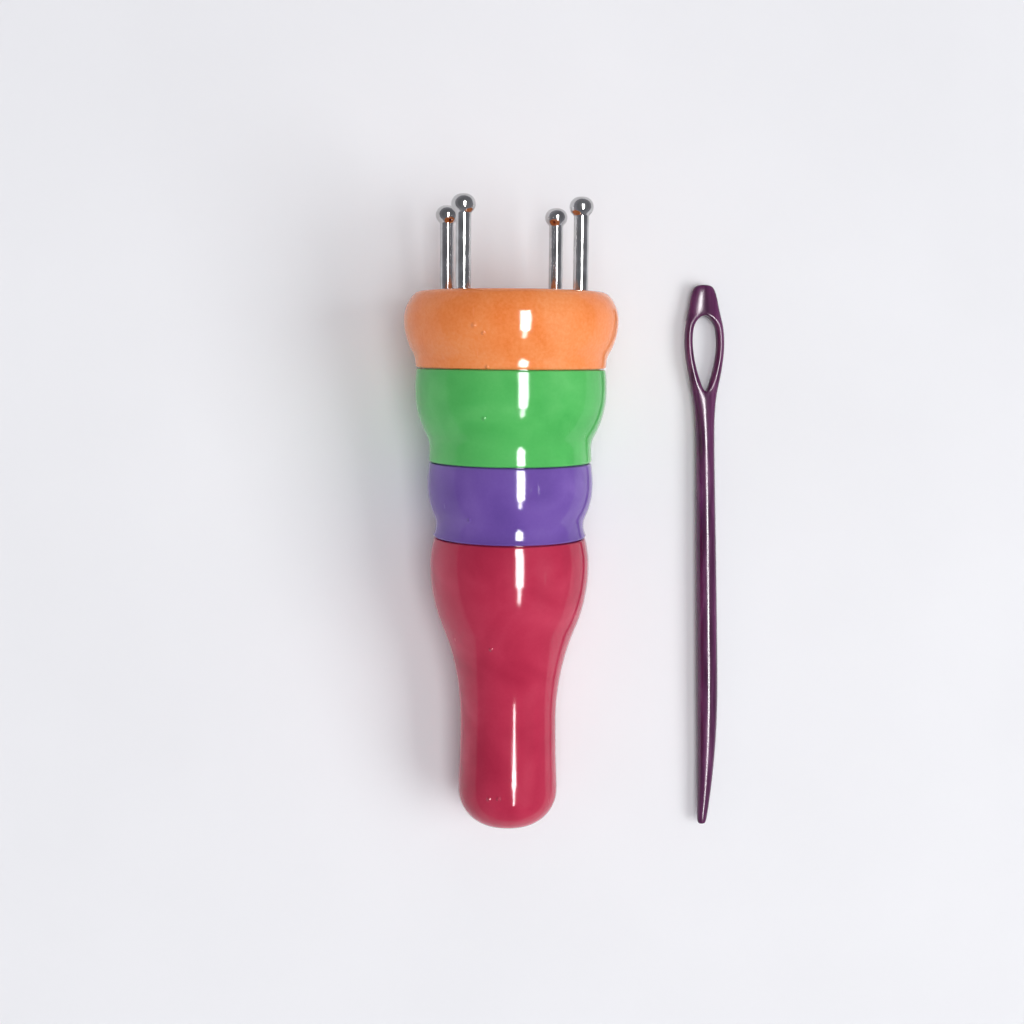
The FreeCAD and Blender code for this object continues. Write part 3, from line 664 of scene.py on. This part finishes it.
def relief(plastic, spot, scratch, nibs):
    """The normal after the peel, the scratches and the nibs.

    A nib is its turn in degrees, then its height, width and distance from the axis in mm.
    """
    peel = add(plastic, "TexNoise", {"Scale": per_metre(PEEL_WIDE), "Detail": 1.5},
               {"Vector": spot})
    bump = add(plastic, "Bump", {"Strength": 0.25, "Distance": PEEL_DEEP},
               {"Height": peel.outputs["Fac"]})
    surface = add(plastic, "Bump", {"Strength": 0.6, "Distance": SCRATCH_DEEP, "invert": True},
                  {"Height": scratch, "Normal": bump.outputs["Normal"]})
    for turn, rise, width, radius in nibs:
        angle = math.radians(turn)
        centre = (radius * math.sin(angle) * MM, -radius * math.cos(angle) * MM, rise * MM)
        far = add(plastic, "VectorMath", {"operation": "DISTANCE", 1: centre}, {0: spot})
        dome = add(plastic, "MapRange", {"interpolation_type": "SMOOTHSTEP", "From Min": 0.0,
                                         "From Max": width * MM, "To Min": 1.0, "To Max": 0.0},
                   {"Value": far.outputs["Value"]})
        surface = add(plastic, "Bump", {"Strength": 1.0, "Distance": NIB_HIGH},
                      {"Height": dome.outputs["Result"], "Normal": surface.outputs["Normal"]})
    return surface.outputs["Normal"]


print("a scratch is", round(SCRATCH_DEEP / MM, 3), "mm deep and a nib", NIB_HIGH / MM, "mm high")

# %% [markdown]
# ABS gives the eye a deep even colour under a clear gloss, and its IOR is near 1.53. The melt
# leaves cloudy flow marks about a centimetre wide, which shift the tone a little and the gloss with
# it, and the pigment leaves a fine speckle, which the orange head shows most. A scratch is dull.

# %% Moulded ABS
FLOW_WIDE, GRAIN_WIDE = 11, 0.5


def moulded_abs(name, chips, speckle, nibs):
    """Glossy ABS in three tones of one colour, dark to light."""
    plastic = blank(name)
    shade, body, light = (tint(chip) for chip in chips)
    spot = on_spool(plastic).outputs["Vector"]
    flow = add(plastic, "TexNoise", {"Scale": per_metre(FLOW_WIDE), "Detail": 2.5,
                                     "Distortion": 0.6}, {"Vector": spot})
    grain = add(plastic, "TexNoise", {"Scale": per_metre(GRAIN_WIDE), "Detail": 2.0},
                {"Vector": spot})
    mottle = add(plastic, "Math", {"operation": "MULTIPLY_ADD", 1: speckle,
                                   2: -speckle / 2}, {0: grain.outputs["Fac"]})
    tone = add(plastic, "Math", {"operation": "ADD"},
               {0: flow.outputs["Fac"], 1: mottle.outputs["Value"]})
    colour = add(plastic, "ValToRGB", {"stops": [(0.28, shade), (0.5, body), (0.74, light)]},
                 {"Fac": tone.outputs["Value"]})
    scratch = scratches(plastic, spot)
    rough = add(plastic, "MapRange", {"From Min": 0.3, "From Max": 0.75, "To Min": 0.07,
                                      "To Max": 0.13}, {"Value": flow.outputs["Fac"]})
    dull = add(plastic, "Math", {"operation": "MULTIPLY_ADD", 1: 0.25},
               {0: scratch, 2: rough.outputs["Result"]})
    shader = add(plastic, "BsdfPrincipled", {"IOR": 1.53, "Specular IOR Level": 0.32},
                 {"Base Color": colour.outputs["Color"], "Roughness": dull.outputs["Value"],
                  "Normal": relief(plastic, spot, scratch, nibs)})
    add(plastic, "OutputMaterial", links={"Surface": shader.outputs["BSDF"]})
    return plastic


handle.data.materials.append(moulded_abs(
    "moulded_abs_red", ("#AC2443", "#BC304E", "#C83E5A"), 0.1,
    [(-32, 6.2, 0.55, 8.75), (-21, 6.4, 0.45, 8.75), (-26, 33, 0.5, 11.0)]))
purple.data.materials.append(moulded_abs(
    "moulded_abs_purple", ("#644799", "#7253A8", "#8061B4"), 0.1,
    [(-40.6, 55.1, 0.5, 13.43)]))
green.data.materials.append(moulded_abs(
    "moulded_abs_green", ("#48B055", "#57BE61", "#68CA70"), 0.1,
    [(-26, 72.1, 0.5, 15.98)]))
head.data.materials.append(moulded_abs(
    "moulded_abs_orange", ("#F4823E", "#FB9150", "#FFA064"), 0.5,
    [(-29.4, 87, 0.6, 18.3), (-24.6, 85.8, 0.45, 18.15), (-24, 80.4, 0.45, 16.37)]))
print("plastics", [material.name for material in bpy.data.materials if "abs" in material.name])

# %% [markdown]
# The pegs are steel wire, headed cold and then plated with bright nickel in a barrel. The plate is
# a mirror with a slightly warm grey, fine draw lines run along the pin, and barrel work leaves it
# hazed in spots. A metal has no colour below its surface, so its metallic is 1.

# %% Plated steel
HAZE_WIDE, DRAWN_WIDE = 2.2, 0.25
DRAWN_DEEP = 0.006 * MM


def nickel_plate():
    """Bright nickel over drawn wire, hazed in spots."""
    plate = blank("bright_nickel_plated_steel")
    spot = on_spool(plate).outputs["Vector"]
    haze = add(plate, "TexNoise", {"Scale": per_metre(HAZE_WIDE), "Detail": 2.0},
               {"Vector": spot})
    colour = add(plate, "ValToRGB", {"stops": [(0.3, tint("#B9B7B6")), (0.7, tint("#D2D1D2"))]},
                 {"Fac": haze.outputs["Fac"]})
    rough = add(plate, "MapRange", {"From Min": 0.35, "From Max": 0.7, "To Min": 0.07,
                                    "To Max": 0.2}, {"Value": haze.outputs["Fac"]})
    drawn = add(plate, "Mapping", {"Scale": (1.0, 1.0, 0.04)}, {"Vector": spot})
    lines = add(plate, "TexNoise", {"Scale": per_metre(DRAWN_WIDE), "Detail": 1.0},
                {"Vector": drawn.outputs["Vector"]})
    bump = add(plate, "Bump", {"Strength": 0.3, "Distance": DRAWN_DEEP},
               {"Height": lines.outputs["Fac"]})
    shader = add(plate, "BsdfPrincipled", {"Metallic": 1.0},
                 {"Base Color": colour.outputs["Color"], "Roughness": rough.outputs["Result"],
                  "Normal": bump.outputs["Normal"]})
    add(plate, "OutputMaterial", links={"Surface": shader.outputs["BSDF"]})
    return plate


nickel = nickel_plate()
for peg in pegs:
    peg.data.materials.append(nickel)
print("pegs plated", len(pegs))

# %% [markdown]
# The needle is moulded in a softer, waxier plastic, most likely polypropylene, in deep plum. It is
# thin, so the melt ran along it and left long streaks of tone, and its gloss is soft. The pale
# lilac edge that it shows is sheen on the tight curve of its limbs. Its IOR is 1.49.

# %% Moulded polypropylene
STREAK_WIDE, WAVE_WIDE = 1.4, 1.2
WAVE_DEEP = 0.03 * MM


def plum_plastic():
    """Waxy plum plastic, streaked along the needle."""
    plum = blank("moulded_polypropylene_plum")
    place = add(plum, "TexCoord")
    run = add(plum, "Mapping", {"Scale": (1.0, 0.1, 1.0)}, {"Vector": place.outputs["Object"]})
    streak = add(plum, "TexNoise", {"Scale": per_metre(STREAK_WIDE), "Detail": 2.0,
                                    "Distortion": 0.4}, {"Vector": run.outputs["Vector"]})
    colour = add(plum, "ValToRGB", {"stops": [(0.3, tint("#42173A")), (0.52, tint("#59244F")),
                                              (0.75, tint("#713665"))]},
                 {"Fac": streak.outputs["Fac"]})
    rough = add(plum, "MapRange", {"From Min": 0.3, "From Max": 0.7, "To Min": 0.16,
                                   "To Max": 0.3}, {"Value": streak.outputs["Fac"]})
    wave = add(plum, "TexNoise", {"Scale": per_metre(WAVE_WIDE), "Detail": 1.5},
               {"Vector": place.outputs["Object"]})
    bump = add(plum, "Bump", {"Strength": 0.4, "Distance": WAVE_DEEP},
               {"Height": wave.outputs["Fac"]})
    shader = add(plum, "BsdfPrincipled", {"IOR": 1.49},
                 {"Base Color": colour.outputs["Color"], "Roughness": rough.outputs["Result"],
                  "Normal": bump.outputs["Normal"]})
    add(plum, "OutputMaterial", links={"Surface": shader.outputs["BSDF"]})
    return plum


needle.data.materials.append(plum_plastic())
print("needle in", needle.data.materials[0].name)

# %% [markdown]
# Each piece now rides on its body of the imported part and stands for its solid. The spool's eight
# pieces are pressed together and move as one body, and the needle is the other.

# %% Tie the pieces to the part
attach(handle, "spool")
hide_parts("handle")
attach(purple, "spool")
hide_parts("purple_ring")
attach(green, "spool")
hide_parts("green_ring")
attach(head, "spool")
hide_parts("peg_head")
for number, peg in enumerate(pegs, start=1):
    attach(peg, "spool")
    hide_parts(f"peg_{number}")
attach(needle, "needle")
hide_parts("needle")
print("pieces tied", len((handle, purple, green, head, needle, *pegs)))
